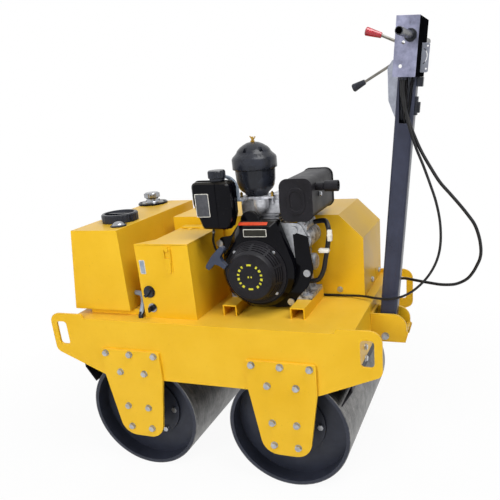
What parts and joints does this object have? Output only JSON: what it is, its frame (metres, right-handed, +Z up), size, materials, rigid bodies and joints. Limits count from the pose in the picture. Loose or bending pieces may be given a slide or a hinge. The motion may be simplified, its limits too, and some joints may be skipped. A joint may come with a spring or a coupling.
{
  "type": "walk-behind double drum compaction roller",
  "caption": "Walk-behind double drum vibratory roller with diesel engine, box tanks, belt cover and an upright handle that folds down.",
  "frame": {"origin": "on the ground, in the middle of the machine's length and width, cables not counted", "axes": "+X towards the handle end, +Y away from the starter side of the engine, +Z up"},
  "size_m": [1.462, 0.6824, 1.4361],
  "materials": {
    "yellow_paint": "semi-gloss enamel",
    "slate_paint": "satin enamel",
    "gloss_black": "gloss enamel",
    "matte_black": "matt heat-proof enamel",
    "drum_steel": "black enamel, bare worn steel on the rolling face",
    "bare_steel": "zinc plated",
    "cast_alloy": "as cast",
    "chrome_plate": "polished",
    "black_plastic": "moulded",
    "blue_plastic": "moulded",
    "red_plastic": "moulded",
    "rubber_sheath": "smooth extruded"
  },
  "bodies": {
    "chassis": {"deck": "yellow_paint", "side_plate_near": "yellow_paint", "side_plate_far": "yellow_paint", "end_panels": "yellow_paint", "hangers": "yellow_paint", "axle_carriers": "bare_steel", "scrapers": "matte_black", "tank_pedestal": "yellow_paint", "water_tank": "yellow_paint", "oil_tank": "yellow_paint", "water_cap": "black_plastic", "tank_vent": "chrome_plate", "oil_breather": "chrome_plate", "drain_pipe": "bare_steel", "control_box": "yellow_paint", "box_latch": "yellow_paint", "box_switches": "black_plastic", "engine_rails": "yellow_paint", "engine_block": "cast_alloy", "cylinder_head": "cast_alloy", "fan_shroud": "gloss_black", "recoil_cover": "matte_black", "recoil_grip": "blue_plastic", "fuel_tank": "gloss_black", "fuel_cap": "black_plastic", "fuel_hose": "rubber_sheath", "air_cleaner": "black_plastic", "muffler": "matte_black", "tailpipe": "matte_black", "belt_cover": "yellow_paint", "handle_bracket": "yellow_paint", "pivot_bolt": "bare_steel", "drive_cable": "rubber_sheath", "throttle_cable": "rubber_sheath", "wiring_loom": "rubber_sheath"},
    "drum_front": {"drum_front": "drum_steel"},
    "drum_rear": {"drum_rear": "drum_steel"},
    "box_lid": {"box_lid": "yellow_paint"},
    "handle": {"handle_column": "slate_paint", "control_head": "slate_paint", "grip_tubes": "black_plastic", "travel_lever": "red_plastic", "throttle_lever": "black_plastic", "lever_quadrant": "bare_steel", "cable_clamps": "black_plastic"}
  },
  "joints": [
    {"name": "drum_front_roll", "type": "hinge", "parent": "chassis", "child": "drum_front", "pos_m": [-0.3255, 0, 0.213], "axis": [0, 1, 0], "continuous": true},
    {"name": "drum_rear_roll", "type": "hinge", "parent": "chassis", "child": "drum_rear", "pos_m": [0.2345, 0, 0.213], "axis": [0, 1, 0], "continuous": true},
    {"name": "handle_fold", "type": "hinge", "parent": "chassis", "child": "handle", "pos_m": [0.5165, 0, 0.47], "axis": [0, 1, 0], "range_deg": [0, 40], "deforming": ["drive_cable", "throttle_cable"]},
    {"name": "box_lid_open", "type": "hinge", "parent": "chassis", "child": "box_lid", "pos_m": [0, -0.047, 0.8463], "axis": [-1, 0, 0], "range_deg": [0, 100]}
  ]
}
